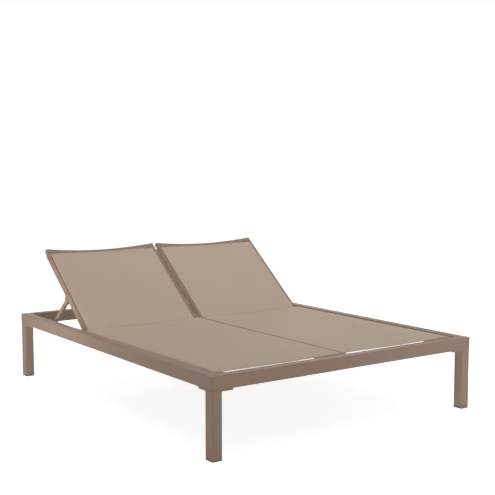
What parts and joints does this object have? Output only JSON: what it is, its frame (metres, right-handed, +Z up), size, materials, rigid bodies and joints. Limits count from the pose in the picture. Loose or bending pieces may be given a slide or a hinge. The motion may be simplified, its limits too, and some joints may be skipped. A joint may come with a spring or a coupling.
{
  "type": "double chaise lounger",
  "caption": "Low double sun lounger bed in powder-coated aluminium with sling seats side by side and sling backs that tilt one by one on notched props.",
  "frame": {"origin": "on the floor, at the middle of the bed's length and width", "axes": "+X across the bed, +Y from the foot end to the head end, +Z up"},
  "size_m": [1.54, 2, 0.7423],
  "materials": {
    "frame": "taupe powder coat, satin",
    "sling": "woven coated mesh, taupe",
    "keder": "matt",
    "dark_plastic": "matt black",
    "grey_plastic": "matt grey",
    "steel": "satin stainless"
  },
  "bodies": {
    "bed": {"back_stops": "frame", "centre_beam": "frame", "centre_hinge_pin": "steel", "foot_rail": "frame", "head_rail": "frame", "hinge_bosses": "frame", "hinge_washers": "steel", "leg_bolts": "steel", "leg_foot_left": "frame", "leg_foot_right": "frame", "leg_glides": "dark_plastic", "leg_head_left": "frame", "leg_head_right": "frame", "outer_hinge_pins": "steel", "rack_bolts": "steel", "rack_inner_left": "frame", "rack_inner_right": "frame", "rack_outer_left": "frame", "rack_outer_right": "frame", "seat_cross_front_left": "frame", "seat_cross_front_right": "frame", "seat_cross_middle_left": "frame", "seat_cross_middle_right": "frame", "seat_cross_rear_left": "frame", "seat_cross_rear_right": "frame", "seat_keder_rods": "keder", "seat_rail_left": "frame", "seat_rail_plugs": "dark_plastic", "seat_rail_right": "frame", "seat_sling_left": "sling", "seat_sling_right": "sling", "side_rail_left": "frame", "side_rail_right": "frame"},
    "back_left": {"back_rail_inner_left": "frame", "back_rail_outer_left": "frame", "back_rail_plugs_left": "dark_plastic", "back_sling_left": "sling", "back_keder_rods_left": "keder", "top_bar_left": "frame", "cross_bar_left": "frame", "bar_caps_left": "grey_plastic", "prop_brackets_left": "frame", "prop_pins_left": "steel"},
    "prop_left": {"prop_arm_inner_left": "frame", "prop_arm_outer_left": "frame", "prop_brace_left": "frame"},
    "back_right": {"back_rail_inner_right": "frame", "back_rail_outer_right": "frame", "back_rail_plugs_right": "dark_plastic", "back_sling_right": "sling", "back_keder_rods_right": "keder", "top_bar_right": "frame", "cross_bar_right": "frame", "bar_caps_right": "grey_plastic", "prop_brackets_right": "frame", "prop_pins_right": "steel"},
    "prop_right": {"prop_arm_inner_right": "frame", "prop_arm_outer_right": "frame", "prop_brace_right": "frame"}
  },
  "joints": [
    {"name": "back_tilt_left", "type": "hinge", "parent": "bed", "child": "back_left", "pos_m": [-0.355, 0.321, 0.3435], "axis": [1, 0, 0], "range_deg": [-38.25, 16.75]},
    {"name": "prop_swing_left", "type": "hinge", "parent": "back_left", "child": "prop_left", "pos_m": [-0.355, 0.55406, 0.48075], "axis": [1, 0, 0], "range_deg": [-34, 77]},
    {"name": "back_tilt_right", "type": "hinge", "parent": "bed", "child": "back_right", "pos_m": [0.355, 0.321, 0.3435], "axis": [1, 0, 0], "range_deg": [-38.25, 16.75]},
    {"name": "prop_swing_right", "type": "hinge", "parent": "back_right", "child": "prop_right", "pos_m": [0.355, 0.55406, 0.48075], "axis": [1, 0, 0], "range_deg": [-34, 77]}
  ],
  "couplings": [
    {"joint": "prop_swing_left", "follows": "back_tilt_left", "ratio": -2},
    {"joint": "prop_swing_right", "follows": "back_tilt_right", "ratio": -2}
  ]
}
